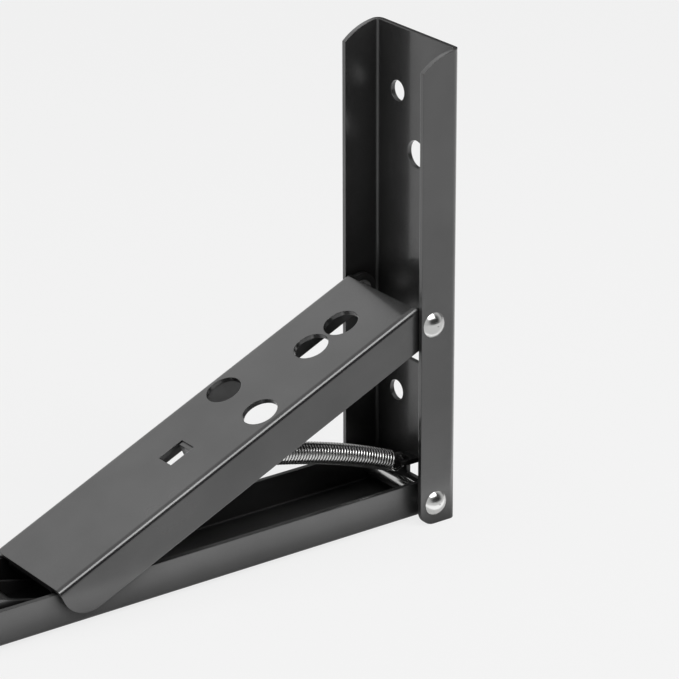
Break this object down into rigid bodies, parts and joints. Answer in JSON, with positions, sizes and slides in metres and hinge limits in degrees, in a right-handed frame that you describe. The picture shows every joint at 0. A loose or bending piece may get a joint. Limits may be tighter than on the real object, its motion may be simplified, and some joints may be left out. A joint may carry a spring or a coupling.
{
  "type": "folding shelf bracket",
  "caption": "Folding shelf bracket of nested steel channels: wall plate, shelf arm and spring-loaded strut, with a release catch.",
  "frame": {"origin": "on the wall face of the wall plate, at mid-width, level with the shelf face of the arm", "axes": "+X out from the wall along the arm, +Y across the bracket, +Z along the wall plate away from the shelf face"},
  "size_m": [0.25, 0.044, 0.15],
  "materials": {
    "powder_coat": "satin dark grey powder coat",
    "plated_steel": "bright nickel plate",
    "spring_steel": "bright drawn wire"
  },
  "bodies": {
    "wall_plate": {"wall_plate": "powder_coat", "arm_pivot_pin": "plated_steel", "arm_spacer_near": "plated_steel", "arm_spacer_far": "plated_steel", "strut_rivet_near": "plated_steel", "strut_rivet_far": "plated_steel"},
    "arm": {"arm": "powder_coat", "catch_pivot_pin": "plated_steel", "catch_bush_near": "plated_steel", "catch_bush_far": "plated_steel", "catch_spring": "spring_steel"},
    "strut": {"strut": "powder_coat", "strut_foot": "powder_coat", "foot_pin": "plated_steel"},
    "catch": {"release_catch": "powder_coat"},
    "spring": {"tension_spring": "spring_steel"},
    "spring_hook": {"spring_hook": "spring_steel"}
  },
  "joints": [
    {"name": "arm_fold", "type": "hinge", "parent": "wall_plate", "child": "arm", "pos_m": [0.0078, 0, 0.0054], "axis": [0, -1, 0], "range_deg": [0, 88]},
    {"name": "strut_fold", "type": "hinge", "parent": "wall_plate", "child": "strut", "pos_m": [0.009, 0, 0.06414], "axis": [0, -1, 0], "range_deg": [0, 113.5]},
    {"name": "catch_press", "type": "hinge", "parent": "arm", "child": "catch", "pos_m": [0.172, 0, 0.0064], "axis": [0, -1, 0], "range_deg": [0, 3.2], "stiffness_Nm_per_rad": 0.3, "springref_deg": -8.59, "deforming": ["catch_spring"]},
    {"name": "spring_swing", "type": "hinge", "parent": "wall_plate", "child": "spring", "pos_m": [0.0078, 0, 0.012], "axis": [0, -1, 0], "range_deg": [0, 74.6], "deforming": ["tension_spring"]},
    {"name": "spring_stretch", "type": "slide", "parent": "spring", "child": "spring_hook", "axis": [0.968, 0, 0.251], "range_m": [0, 0.0557], "deforming": ["spring_hook"]}
  ],
  "couplings": [
    {"joint": "strut_fold", "follows": "arm_fold", "ratio": 1.2898},
    {"joint": "spring_swing", "follows": "arm_fold", "ratio": 0.8475},
    {"joint": "spring_stretch", "follows": "arm_fold", "m_per_rad": 0.03613}
  ]
}
